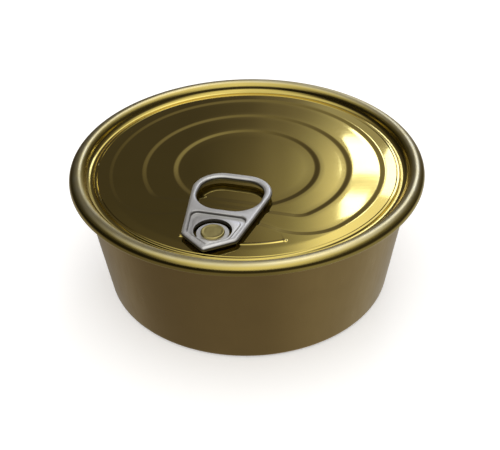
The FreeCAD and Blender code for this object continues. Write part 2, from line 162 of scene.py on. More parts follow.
class Tree:
    """Adds nodes to a material's or a world's node tree."""

    def __init__(self, owner: Union[bpy.types.Material, bpy.types.World]) -> None:
        """Empties the owner's tree.

        Args:
            owner: the material or world whose nodes are made.
        """
        owner.use_nodes = True
        self.node_tree = owner.node_tree
        self.node_tree.nodes.clear()

    def add(self, kind: str, settings: Dict[str, object], inputs: Dict[Union[int, str], Input],
            output: Union[int, str] = 0) -> Signal:
        """Adds one node.

        Args:
            kind: the node's type.
            settings: attributes, set before the inputs.
            inputs: a value or a signal for each input, by place or name.
            output: the output that is returned.

        Returns:
            The chosen output.
        """
        node = self.node_tree.nodes.new(kind)
        for name, value in settings.items():
            setattr(node, name, value)
        for key, value in inputs.items():
            socket = node.inputs[key]
            if isinstance(value, Signal):
                self.node_tree.links.new(value.output, socket)
            elif isinstance(value, (int, float)) and socket.type in {"VECTOR", "RGBA"}:
                socket.default_value = [value] * len(socket.default_value)
            elif isinstance(value, tuple) and socket.type == "RGBA":
                socket.default_value = (*value[:3], 1.0)
            else:
                socket.default_value = value
        chosen = node.outputs[output] if node.outputs else None
        return Signal(self, chosen)

    def place(self) -> Signal:
        """The surface point in the can's own frame, in millimetres."""
        point = self.add("ShaderNodeTexCoord", {}, {}, "Object")
        return point * (1.0 / MM)

    def noise(self, point: Signal, pitch: float, detail: float = 2.0) -> Signal:
        """Cloudy noise from 0 to 1, whose patches lie a pitch apart."""
        inputs = {"Vector": point, "Scale": 1.0 / pitch, "Detail": detail}
        return self.add("ShaderNodeTexNoise", {"noise_dimensions": "3D"}, inputs)

    def blend(self, share: Input, first: Input, second: Input) -> Signal:
        """A colour that goes from the first to the second as the share goes from 0 to 1."""
        settings = {"data_type": "RGBA", "clamp_factor": True}
        return self.add("ShaderNodeMix", settings, {0: share, 6: first, 7: second}, 2)

    def spread(self, vector: Signal, along: float, turn: float) -> Signal:
        """Stretches space along a level direction, so that noise becomes streaks.

        Args:
            vector: the point that is changed.
            along: how many times longer a patch becomes.
            turn: the direction of the streaks, in degrees from +X.

        Returns:
            The changed point.
        """
        settings = {"vector_type": "POINT"}
        inputs = {"Vector": vector, "Rotation": (0.0, 0.0, math.radians(-turn))}
        turned = self.add("ShaderNodeMapping", settings, inputs)
        return turned * (1.0 / along, 1.0, 1.0)

    def bump(self, height: Signal, depth: float, under: Optional[Signal] = None) -> Signal:
        """A normal tilted by a height.

        Args:
            height: the height, from 0 to 1.
            depth: what a height of 1 stands for, in millimetres.
            under: a normal to start from.

        Returns:
            The normal.
        """
        inputs: Dict[Union[int, str], Input] = {
            "Height": height, "Distance": depth * MM, "Strength": 1.0}
        if under is not None:
            inputs["Normal"] = under
        return self.add("ShaderNodeBump", {}, inputs)


# ---- finishes

class Texture(Enum):
    """How the metal was worked: its fine lines' length over their width, and their pitch."""

    ROLLED = (60.0, 0.3)
    DRAWN = (40.0, 0.7)


@dataclass(frozen=True)
class Metal:
    """A metal surface, bare or under clear lacquer, with lengths in millimetres."""

    name: str
    colour: Colour
    shade: Colour
    roughness: float
    coat: float
    coat_roughness: float
    texture: Texture
    grain_turn: float = 0.0                # degrees from +X, for rolled sheet
    grain_depth: float = 0.0004
    grain_roughness: float = 0.06
    cloud_pitch: float = 6.0
    cloud_range: Point = (0.35, 0.7)       # noise where the shade starts and where it is full
    cloud_roughness: float = 0.05
    wave_pitch: float = 9.0
    wave_depth: float = 0.006
    metallic: float = 1.0
    rub_level: Optional[float] = None      # level above which the lacquer is rubbed thin
    rub_colour: Colour = (0.86, 0.82, 0.62)
    rub_pitch: float = 2.5
    rub_range: Point = (0.3, 0.75)         # noise where the rubbing grows and where it is full
    rub_least: float = 0.4
    rub_growth: float = 0.2
    scuff_level: Optional[float] = None    # level above which the seaming rolls scuffed it
    scuff_rise: float = 0.5
    scuff_share: float = 0.65              # the rest comes from sliding
    scuff_roughness: float = 0.26
    slide_reach: Point = (0.0, 0.0)        # distances from the axis between which sliding sets in
    painted_shade_levels: Optional[Point] = None    # painted shade grows from the upper level to the lower
    painted_shade_facing: Point = (0.8, 0.35)       # how far up it faces where the painted shade starts and is full
    painted_shade_share: float = 0.9

    def grain(self, tree: Tree, point: Signal) -> Signal:
        """Fine lines left by the rolls, or by the draw ring round a wall.

        Args:
            tree: the tree that the nodes go to.
            point: the surface point.

        Returns:
            The lines' height, from 0 to 1.
        """
        stretch, pitch = self.texture.value
        if self.texture is Texture.ROLLED:
            streaks = tree.spread(point, stretch, self.grain_turn)
        else:
            streaks = point * (1.0, 1.0, 1.0 / stretch)
        return tree.noise(streaks, pitch, FINE)

    def tinted(self, tree: Tree, point: Signal, cloud: Signal) -> Signal:
        """Colour of the metal and its lacquer, with rubbed areas and painted shade where it is low
        and faces down.

        Args:
            tree: the tree that the nodes go to.
            point: the surface point.
            cloud: the soft patches.

        Returns:
            The colour.
        """
        level = point.dot(UPWARD)
        colour = tree.blend(cloud.rise(*self.cloud_range), self.colour, self.shade)
        if self.rub_level is not None:
            patch = tree.noise(point, self.rub_pitch, FINE + 1.0).rise(*self.rub_range)
            patch = patch * self.rub_growth + self.rub_least
            rubbed = level.rise(self.rub_level, RIM_LEVEL) * patch
            colour = tree.blend(rubbed, colour, self.rub_colour)
        # painted shade: colour darkened towards near-black where the surface lies low and faces
        # sideways or down, standing in for shade under the tab's curled edges
        if self.painted_shade_levels is not None:
            facing = tree.add("ShaderNodeNewGeometry", {}, {}, "Normal").dot(UPWARD)
            painted_shade_mask = level.rise(*self.painted_shade_levels) * facing.rise(*self.painted_shade_facing)
            colour = tree.blend(painted_shade_mask * self.painted_shade_share, colour, PAINTED_SHADE_COLOUR)
        return colour

    def scuffed(self, tree: Tree, point: Signal) -> Signal:
        """Roughness added where the seaming rolls pressed on the lid and slid over it.

        Args:
            tree: the tree that the nodes go to.
            point: the surface point.

        Returns:
            The added roughness.
        """
        reach = tree.add("ShaderNodeVectorMath", {"operation": "LENGTH"},
                         {0: point * (1.0, 1.0, 0.0)}, "Value")
        rolled = point.dot(UPWARD).rise(self.scuff_level, self.scuff_level + self.scuff_rise)
        slid = reach.rise(*self.slide_reach) * (1.0 - self.scuff_share)
        return (rolled * self.scuff_share + slid) * self.scuff_roughness

    def material(self) -> bpy.types.Material:
        """Makes the material.

        Returns:
            The new material.
        """
        made = bpy.data.materials.new(self.name)
        tree = Tree(made)
        point = tree.place()
        cloud = tree.noise(point, self.cloud_pitch, FINE)
        grain = self.grain(tree, point)
        roughness = (self.roughness + (grain - 0.5) * self.grain_roughness * 2
                     + (cloud - 0.5) * self.cloud_roughness)
        if self.scuff_level is not None:
            roughness = roughness + self.scuffed(tree, point)
        wave = tree.noise(point, self.wave_pitch, 1.0)
        normal = tree.bump(grain, self.grain_depth, tree.bump(wave, self.wave_depth))
        surface = tree.add("ShaderNodeBsdfPrincipled", {}, {
            "Base Color": self.tinted(tree, point, cloud), "Metallic": self.metallic,
            "Roughness": roughness, "Coat Weight": self.coat,
            "Coat Roughness": self.coat_roughness, "Normal": normal})
        tree.add("ShaderNodeOutputMaterial", {}, {"Surface": surface})
        return made


LID_GOLD = Metal("lid_gold_lacquer", (0.71, 0.555, 0.143), (0.69, 0.54, 0.138), 0.055, 0.2, 0.015,
                 Texture.ROLLED, grain_turn=VIEW_TURN, grain_depth=0.0001, grain_roughness=0.03,
                 wave_depth=0.0015, rub_level=RIM_LEVEL - 0.4, scuff_level=RIM_LEVEL - 0.9,
                 slide_reach=(SEAM_RADIUS - 4.8, SEAM_RADIUS - 4.5))
RIVET_GOLD = Metal("rivet_gold_lacquer", (0.62, 0.52, 0.2), (0.5, 0.4, 0.14), 0.34, 0.1, 0.15,
                   Texture.ROLLED, grain_turn=VIEW_TURN, wave_pitch=0.9, wave_depth=0.02)
BODY_GOLD = Metal("body_gold_lacquer", (0.64, 0.455, 0.165), (0.62, 0.44, 0.16), 0.32, 0.08, 0.2,
                  Texture.DRAWN, grain_depth=0.0015, grain_roughness=0.1, wave_pitch=14.0,
                  wave_depth=0.004)
# bare aluminium tab; painted shade darkens its lower, downward-facing curled edges
TAB_SILVER = Metal("tab_aluminium", (0.8, 0.79, 0.76), (0.68, 0.67, 0.65), 0.38, 0.0, 0.3,
                   Texture.ROLLED, grain_turn=90.0, grain_depth=0.002, grain_roughness=0.1,
                   wave_pitch=1.2, wave_depth=0.008, metallic=0.75,
                   painted_shade_levels=(RIM_LEVEL - 0.28, RIM_LEVEL - 0.52))


# ---- mesh making

def ease(share: Array) -> Array:
    """Smooth rise from 0 to 1, level at both ends and outside them."""
    held = np.clip(share, 0.0, 1.0)
    return held * held * (3.0 - 2.0 * held)


def pressed(share: Array, bend: float = 0.22) -> Array:
    """Rise from 0 to 1 that is straight but for a bend at each end, as pressed sheet has.

    Args:
        share: any numbers; those outside 0 to 1 are held at the ends.
        bend: the share of the rise that each bend takes.

    Returns:
        The heights.
    """
    held = np.clip(share, 0.0, 1.0)
    near_end = np.minimum(held, 1.0 - held)
    low = np.where(near_end < bend, near_end ** 2 / (2 * bend), near_end - bend / 2)
    full = 0.5 - bend / 2
    return np.where(held < 0.5, low, 2 * full - low) / (2 * full)


@dataclass(frozen=True)
class Corner:
    """A corner of an outline: its place in the outline's plane and its rounding."""

    across: float
    along: float
    radius: float = 0.0


def round_corner(before: Corner, corner: Corner, after: Corner, inset: float,
                 steps: int) -> Array:
    """Points along one rounded corner.

    Args:
        before: the corner before it.
        corner: the corner itself.
        after: the corner after it.
        inset: how far the arc is moved towards the side that the corner turns to.
        steps: how many stretches the arc is divided into.

    Returns:
        The points, from the side before to the side after.
    """
    place = np.array((corner.across, corner.along))
    back = np.array((before.across, before.along)) - place
    ahead = np.array((after.across, after.along)) - place
    back, ahead = back / np.linalg.norm(back), ahead / np.linalg.norm(ahead)
    half = math.acos(float(np.clip(back @ ahead, -1.0, 1.0))) / 2
    middle = (back + ahead) / np.linalg.norm(back + ahead)
    centre = place + middle * corner.radius / math.sin(half)
    first = place + back * corner.radius / math.tan(half) - centre
    last = place + ahead * corner.radius / math.tan(half) - centre
    start = math.atan2(first[1], first[0])
    sweep = (math.atan2(last[1], last[0]) - start + math.pi) % (2 * math.pi) - math.pi
    angles = start + sweep * np.linspace(0.0, 1.0, steps + 1)
    return centre + (corner.radius - inset) * np.stack((np.cos(angles), np.sin(angles)), axis=1)


@dataclass(frozen=True)
class Outline:
    """A closed anticlockwise outline with rounded corners, symmetrical about the nose's line."""

    right: Tuple[Corner, ...]     # from the nose to the ring, on the +X side
    corner_steps: int = 14
    side_steps: int = 10

    def loop(self, inset: float = 0.0) -> Array:
        """Points along the outline.

        Args:
            inset: how far the loop lies inside the outline, or outside it if negative.

        Returns:
            The points, the same number for every inset.
        """
        left = [Corner(-item.across, item.along, item.radius)
                for item in reversed(self.right) if item.across > 0.0]
        corners = [*self.right, *left]
        count = len(corners)
        arcs = [round_corner(corners[index - 1], corners[index], corners[(index + 1) % count],
                             inset, self.corner_steps) for index in range(count)]
        points: List[Array] = []
        for index, bend in enumerate(arcs):
            following = arcs[(index + 1) % count][0]
            shares = np.linspace(0.0, 1.0, self.side_steps + 1)[1:-1, None]
            points.append(bend)
            points.append(bend[-1] + (following - bend[-1]) * shares)
        return np.concatenate(points)


def profile(corners: Sequence[Corner], steps: int) -> Array:
    """An open line through corners, rounded where they have a radius.

    Args:
        corners: the corners, across the axis and along it.
        steps: how many stretches a rounded corner is divided into.

    Returns:
        The points from the first corner to the last.
    """
    points = [np.array([[corners[0].across, corners[0].along]])]
    for before, corner, after in zip(corners, corners[1:], corners[2:]):
        if corner.radius:
            points.append(round_corner(before, corner, after, 0.0, steps))
        else:
            points.append(np.array([[corner.across, corner.along]]))
    points.append(np.array([[corners[-1].across, corners[-1].along]]))
    return np.concatenate(points)


def placed(mesh: bpy.types.Mesh, finish: bpy.types.Material) -> bpy.types.Object:
    """Puts a mesh in the scene.

    Args:
        mesh: the mesh, whose name the object takes.
        finish: its material.

    Returns:
        The new object, at the origin.
    """
    mesh.materials.append(finish)
    made = bpy.data.objects.new(mesh.name, mesh)
    bpy.context.collection.objects.link(made)
    return made


def sheet(finish: bpy.types.Material, wide: float, tall: float) -> bpy.types.Object:
    """Makes a level four-cornered sheet round the origin.

    Args:
        finish: its material, whose name it takes.
        wide: half its width, in metres.
        tall: half its height, in metres.

    Returns:
        The sheet.
    """
    mesh = bpy.data.meshes.new(finish.name)
    mesh.from_pydata([(-wide, -tall, 0), (wide, -tall, 0), (wide, tall, 0), (-wide, tall, 0)],
                     [], [(0, 1, 2, 3)])
    return placed(mesh, finish)


class Shell:
    """Collects rings of points and the faces between them, and makes them one piece."""

    def __init__(self) -> None:
        """Starts with nothing."""
        self.points: List[Array] = []
        self.faces: List[Tuple[int, ...]] = []
        self.count = 0

    def ring(self, points: Array) -> Array:
        """Adds points.

        Args:
            points: an array of x, y and z in millimetres.

        Returns:
            The points' numbers.
        """
        self.points.append(np.asarray(points, float))
        first, self.count = self.count, self.count + len(points)
        return np.arange(first, self.count)

    def level_ring(self, loop: Array, level: float) -> Array:
        """Adds a flat loop at a height and returns its points' numbers."""
        return self.ring(np.column_stack((loop, np.full(len(loop), level))))

    def band(self, lower: Array, upper: Array) -> None:
        """Joins two rings with faces that look away from the left of the way from lower to upper.

        Args:
            lower: the first ring's numbers, anticlockwise seen from above.
            upper: the second ring's numbers.
        """
        ahead_low, ahead_up = np.roll(lower, -1), np.roll(upper, -1)
        self.faces.extend(zip(lower.tolist(), ahead_low.tolist(), ahead_up.tolist(),
                              upper.tolist()))

    def bands(self, rings: Sequence[Array]) -> None:
        """Joins each ring to the next one."""
        for lower, upper in zip(rings, rings[1:]):
            self.band(lower, upper)

    def fan(self, ring: Array, tip: Sequence[float], outward: bool = True) -> None:
        """Closes a ring to a point.

        Args:
            ring: the ring's numbers, anticlockwise seen from above.
            tip: the point's x, y and z.
            outward: True where the faces look up.
        """
        middle = int(self.ring(np.array([tip]))[0])
        for first, second in zip(ring.tolist(), np.roll(ring, -1).tolist()):
            self.faces.append((first, second, middle) if outward else (second, first, middle))

    def fill(self, outer: Array, holes: Sequence[Array], up: bool) -> None:
        """Fills a flat area that may have holes.

        Args:
            outer: the numbers of its outer ring.
            holes: the numbers of each hole's ring.
            up: True where the faces look up.
        """
        every = np.concatenate(self.points)
        loops = [outer, *holes]
        numbers = np.concatenate(loops).tolist()
        flat = [[Vector((*every[index][:2], 0.0)) for index in loop] for loop in loops]
        for corners in tessellate_polygon(flat):
            first, second, third = (Vector(every[numbers[index]]) for index in corners)
            looks_up = (second - first).cross(third - first).z > 0.0
            order = corners if looks_up == up else reversed(corners)
            self.faces.append(tuple(numbers[index] for index in order))

    def piece(self, name: str, finish: bpy.types.Material,
              shift: Tuple[float, float, float] = (0.0, 0.0, 0.0)) -> bpy.types.Object:
        """Makes the object.

        Args:
            name: its name.
            finish: its material.
            shift: how far the points are moved, in millimetres.

        Returns:
            The new object, at the origin.
        """
        mesh = bpy.data.meshes.new(name)
        points = (np.concatenate(self.points) + np.array(shift)) * MM
        mesh.from_pydata(points.tolist(), [], self.faces)
        mesh.validate()
        mesh.polygons.foreach_set("use_smooth", [True] * len(mesh.polygons))
        mesh.set_sharp_from_angle(angle=math.radians(SHARP_ANGLE))
        return placed(mesh, finish)


def ring_round(angles: Array, radius: Union[float, Array],
               level: Union[float, Array]) -> Array:
    """Points round the vertical axis.

    Args:
        angles: where they lie, in radians from the nose's line, anticlockwise from above.
        radius: their distance from the axis.
        level: their height.

    Returns:
        The points' x, y and z.
    """
    radius = np.broadcast_to(radius, angles.shape)
    level = np.broadcast_to(level, angles.shape)
    return np.column_stack((radius * np.sin(angles), -radius * np.cos(angles), level))


def even_turn(count: int) -> Array:
    """Evenly spaced angles round a full turn, in radians."""
    return np.arange(count) * (2 * math.pi / count)


# ---- can body

@dataclass
class CanBody:
    """Drawn cup: base with a shallow recess, tapered wall and the neck under the seam."""

    base_radius: float = SEAM_RADIUS - 6.1
    base_corner: float = 1.25
    recess_depth: float = 0.4
    recess_inset: float = 2.6
    recess_slope: float = 0.7
    recess_round: float = 0.5
    neck_radius: float = SEAM_RADIUS - 2.6
    neck_level: float = RIM_LEVEL - 2.9
    neck_round: float = 0.4
    flange_radius: float = SEAM_RADIUS - 1.05
    flange_level: float = RIM_LEVEL - 2.1
    flange_inner: float = SEAM_RADIUS - 2.15
    plug_radius: float = SEAM_RADIUS - 2.85
    segments: int = 288
    corner_steps: int = 8

    def outline(self) -> Array:
        """The turned profile, from the middle of the base to the top of the plug.

        Returns:
            The profile as distance from the axis and level.
        """
        recess = self.base_radius - self.recess_inset
        return profile([
            Corner(recess * 0.5, self.recess_depth),
            Corner(recess - self.recess_slope, self.recess_depth, self.recess_round),
            Corner(recess, 0.0, self.recess_round),
            Corner(self.base_radius, 0.0, self.base_corner),
            Corner(self.neck_radius, self.neck_level, self.neck_round),
            Corner(self.flange_radius, self.flange_level),
            Corner(self.flange_inner, self.flange_level),
            Corner(self.plug_radius, self.neck_level),
        ], self.corner_steps)

    def build(self) -> bpy.types.Object:
        """Makes the piece.

        Returns:
            The drawn body.
        """
        shell = Shell()
        angles = even_turn(self.segments)
        rings = [shell.ring(ring_round(angles, across, along)) for across, along in self.outline()]
        shell.bands(rings)
        shell.fan(rings[0], (0.0, 0.0, self.recess_depth), outward=False)
        shell.fan(rings[-1], (0.0, 0.0, self.neck_level))
        body = shell.piece("drawn_body", BODY_GOLD.material())
        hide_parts("can_body")
        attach(body, "root")
        return body


# ---- lid

@dataclass(frozen=True)
class Step:
    """A sunk area of the panel: a circle whose nose side is cut off, with rounded corners."""

    radius: float
    front: float              # middle to the cut-off side
    corner: float
    bow: float = 4000.0       # radius of the hollow cut-off side; a large one is nearly straight
    gaps: int = 5             # rows of faces between the area inside and this step's flank

    def distance(self, across: Array, along: Array) -> Array:
        """Distance outside the step's edge, negative inside.

        Args:
            across: x of the points.
            along: y of the points.

        Returns:
            The distances.
        """
        core = self.radius - self.corner
        hollow = self.bow + self.corner
        middle = -(self.front + self.bow)
        corner_along = (middle ** 2 + core ** 2 - hollow ** 2) / (2 * middle)
        corner_across = math.sqrt(core ** 2 - corner_along ** 2)
        reach = np.maximum(np.hypot(across, along), 1e-9)
        far = np.hypot(across, along - middle)
        to_circle, to_hollow = reach - core, hollow - far
        on_circle = np.hypot(across * core / reach, along * core / reach - middle) >= hollow
        on_hollow = np.hypot(across * hollow / far,
                             middle + (along - middle) * hollow / far) <= core
        to_corner = np.hypot(np.abs(across) - corner_across, along - corner_along)
        outside = np.where(on_circle & (to_circle > 0), to_circle,
                           np.where(on_hollow & (to_hollow > 0), to_hollow, to_corner))
        inside = np.maximum(to_circle, to_hollow)
        return np.where(inside <= 0, inside, outside) - self.corner

    def edge(self, angles: Array, inset: float) -> Array:
        """Distance from the axis to a line at an inset from the step's edge.

        Args:
            angles: the directions, from the nose's line.
            inset: how far inside the edge the line lies.

        Returns:
            The distances.
        """
        low, high = np.zeros_like(angles), np.full_like(angles, SEAM_RADIUS)
        for _ in range(HALVINGS):
            trial = (low + high) / 2
            inside = self.distance(trial * np.sin(angles), -trial * np.cos(angles)) < -inset
            low, high = np.where(inside, trial, low), np.where(inside, high, trial)
        return (low + high) / 2


@dataclass
class SeamedLid:
    """Easy-open end: stepped panel, countersink, chuck wall and double seam."""

    panel_level: float = RIM_LEVEL - 1.6
    panel_radius: float = SEAM_RADIUS - 4.83
    edge_level: float = RIM_LEVEL - 1.72   # the panel's border droops to this at its edge
    fall_start: float = SEAM_RADIUS - 7.4
    step_depth: float = 0.1
    step_slope: float = 1.3
    steps: Tuple[Step, ...] = (
        Step(14.6, 12.85, 4.1, gaps=7),
        Step(20.8, 14.9, 4.1),
        Step(27.3, 18.4, 10.5, bow=36.0),
    )
    ridge_radius: float = 25.8
    ridge_width: float = 0.8
    ridge_height: float = 0.08
    ridge_start: float = 7.0      # degrees from the nose's line
    ridge_ends: Tuple[float, float] = (-12.4, 30.0)
    ridge_rows: int = 13
    ridge_margin: float = 2.5     # degrees past a knob before the rows start to even out
    ridge_blend: float = 8.0      # degrees in which they do
    knob_radius: float = 0.5
    knob_height: float = 0.12
    knob_top: float = 1.25        # above 1 for a flattened top
    knob_crowd: float = 2.6       # how much closer together the points are at a knob
    knob_spread: float = 2.2      # degrees over which they crowd
    border: Point = (26.9, 29.2)  # reach of the rows between the ridges and the score
    border_rows: int = 7
    score_radius: float = SEAM_RADIUS - 5.33
    score_width: float = 0.22
    score_depth: float = 0.08
    clear: float = 1.3            # how far rows keep off a knob or the score, over its half-width
    groove_level: float = RIM_LEVEL - 2.0
    groove_inner: float = SEAM_RADIUS - 4.57
    groove_outer: float = SEAM_RADIUS - 3.42
    groove_round: float = 0.15
    wall_round: float = 1.2
    seam_inner: float = SEAM_RADIUS - 2.68
    crest_inner_round: float = 1.56
    crest_outer_round: float = 1.5
    hem_level: float = RIM_LEVEL - 2.1
    hem_round: float = 0.5
    hem_inner: float = SEAM_RADIUS - 2.15
    plug_radius: float = SEAM_RADIUS - 2.85
    plug_level: float = RIM_LEVEL - 2.9
    segments: int = 540
    turn_samples: int = 7201
    flank_rows: int = 8
    corner_steps: int = 12

    def angles(self) -> Array:
        """Directions round the panel, closer together at the knobs.

        Returns:
            The directions in radians from the nose's line.
        """
        turn = np.linspace(-180.0, 180.0, self.turn_samples)
        crowd = sum(np.exp(-((turn - end) / self.knob_spread) ** 2) for end in self.ridge_ends)
        total = np.cumsum(1.0 + self.knob_crowd * crowd)
        shares = np.arange(self.segments) / self.segments * total[-1]
        return np.radians(np.interp(shares, total, turn))

    def height(self, across: Array, along: Array) -> Array:
        """Level of the panel's upper side.

        Args:
            across: x of the points.
            along: y of the points.

        Returns:
            The levels.
        """
        level = np.full(across.shape, self.panel_level)
        for step in self.steps:
            level -= self.step_depth * pressed(-step.distance(across, along) / self.step_slope)
        reach = np.hypot(across, along)
        fall = np.clip((reach - self.fall_start) / (self.panel_radius - self.fall_start), 0.0, 1.0)
        level -= (self.panel_level - self.edge_level) * fall
        turn = np.degrees(np.arctan2(across, -along))
        off_ridge = np.abs(reach - self.ridge_radius) / (self.ridge_width / 2)
        ridge = self.ridge_height * ease(1.0 - off_ridge)
        raised = np.zeros(across.shape)
        for limit in self.ridge_ends:
            side = math.copysign(1.0, limit)
            window = ease(turn * side - self.ridge_start) * (np.abs(turn) < abs(limit))
            end = math.radians(limit)
            off_knob = np.hypot(across - self.ridge_radius * math.sin(end),
                                along + self.ridge_radius * math.cos(end)) / self.knob_radius
            knob = self.knob_height * ease(self.knob_top * (1.0 - off_knob))
            raised = np.maximum(raised, np.maximum(ridge * window, knob))
        off_score = np.abs(reach - self.score_radius) / (self.score_width / 2)
        score = self.score_depth * np.clip(1.0 - off_score, 0.0, 1.0)
        return level + raised - score

    def panel_rows(self, angles: Array) -> List[Array]:
        """Distances from the axis of the panel's rings, which follow each step's flank.

        Args:
            angles: the directions.

        Returns:
            One array for each ring, from the middle outwards.
        """
        rows: List[Array] = []
        start = np.zeros_like(angles)
        flank = np.linspace(0.0, 1.0, self.flank_rows + 1)
        for step in self.steps:
            foot, edge = step.edge(angles, self.step_slope), step.edge(angles, 0.0)
            between = np.linspace(0.0, 1.0, step.gaps + 1)[1:-1]
            rows.extend(start + (foot - start) * share for share in between)
            rows.extend(foot + (edge - foot) * share for share in flank)
            start = edge
        across_ridge = np.linspace(-1.0, 1.0, self.ridge_rows) * self.knob_radius * 1.05
        fixed = np.concatenate((self.ridge_radius + across_ridge,
                                np.linspace(*self.border, self.border_rows)))
        limit = fixed[-1]
        clear = np.minimum(start, self.ridge_radius - self.knob_radius * self.clear)
        even = np.arange(1, len(fixed) + 1) / len(fixed)
        past_knob = np.degrees(np.abs(angles)) - max(self.ridge_ends) - self.ridge_margin
        aside = ease(past_knob / self.ridge_blend)
        for place, share in zip(fixed, even):
            front = (place - clear) / (limit - clear)
            rows.append(start + (front + (share - front) * aside) * (limit - start))
        half = self.score_width / 2
        rows.extend(np.full_like(angles, self.score_radius + half * share)
                    for share in (-self.clear, -1.0, -0.5, 0.0, 0.5, 1.0, self.clear))
        return rows

    def rim(self) -> Array:
        """The turned profile from the panel's edge, over the seam, to the plug's foot.

        Returns:
            The profile as distance from the axis and level.
        """
        return profile([
            Corner(self.panel_radius - 0.25, self.edge_level + 0.012),
            Corner(self.panel_radius, self.edge_level, 0.2),
            Corner(self.groove_inner, self.groove_level, self.groove_round),
            Corner(self.groove_outer, self.groove_level, self.wall_round),
            Corner(self.seam_inner, RIM_LEVEL, self.crest_inner_round),
            Corner(SEAM_RADIUS, RIM_LEVEL, self.crest_outer_round),
            Corner(SEAM_RADIUS, self.hem_level, self.hem_round),
            Corner(self.hem_inner, self.hem_level),
            Corner(self.plug_radius, self.plug_level),
        ], self.corner_steps)

    def build(self) -> bpy.types.Object:
        """Makes the piece.

        Returns:
            The seamed end.
        """
        shell = Shell()
        angles = self.angles()
        rings = []
        for reach in self.panel_rows(angles):
            across, along = reach * np.sin(angles), -reach * np.cos(angles)
            rings.append(shell.ring(np.column_stack((across, along, self.height(across, along)))))
        rings.extend(shell.ring(ring_round(angles, across, along)) for across, along in self.rim())
        shell.bands(rings[::-1])
        middle = float(self.height(np.zeros(1), np.zeros(1))[0])
        shell.fan(rings[0], (0.0, 0.0, middle))
        shell.fan(rings[-1], (0.0, 0.0, self.plug_level), outward=False)
        lid = shell.piece("seamed_end", LID_GOLD.material())
        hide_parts("lid")
        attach(lid, "root")
        return lid


@dataclass
class Rivet:
    """Flat-headed rivet drawn out of the panel, which holds the tab's tongue down."""

    reach: float = SEAM_RADIUS - 11.15      # can's axis to the rivet's
    foot: float = RIM_LEVEL - 1.2           # top of the tongue
    head_radius: float = 2.2
    head_height: float = 0.45
    dish: float = 0.06
    foot_inset: float = 0.12
    foot_round: float = 0.1
    top_inset: float = 0.05
    top_round: float = 0.22
    dish_share: float = 0.72                # of the head's radius, where the dish starts
    dish_round: float = 0.4
    middle_share: float = 0.3
    segments: int = 96
    corner_steps: int = 6

    def build(self) -> bpy.types.Object:
        """Makes the piece.

        Returns:
            The rivet's head.
        """
        shell = Shell()
        angles = even_turn(self.segments)
        top = self.head_height
        line = profile([
            Corner(self.head_radius - self.foot_inset, 0.0),
            Corner(self.head_radius, self.foot_inset, self.foot_round),
            Corner(self.head_radius - self.top_inset, top, self.top_round),
            Corner(self.head_radius * self.dish_share, top - self.dish, self.dish_round),
            Corner(self.head_radius * self.middle_share, top - self.dish),
        ], self.corner_steps)
        rings = [shell.ring(ring_round(angles, across, along)) for across, along in line]
        shell.bands(rings)
        shell.fan(rings[0], (0.0, 0.0, 0.0), outward=False)
        shell.fan(rings[-1], (0.0, 0.0, top - self.dish))
        rivet = shell.piece("rivet_head", RIVET_GOLD.material(),
                            shift=(0.0, -self.reach, self.foot))
        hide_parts("lid")
        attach(rivet, "root")
        return rivet


# ---- pull tab

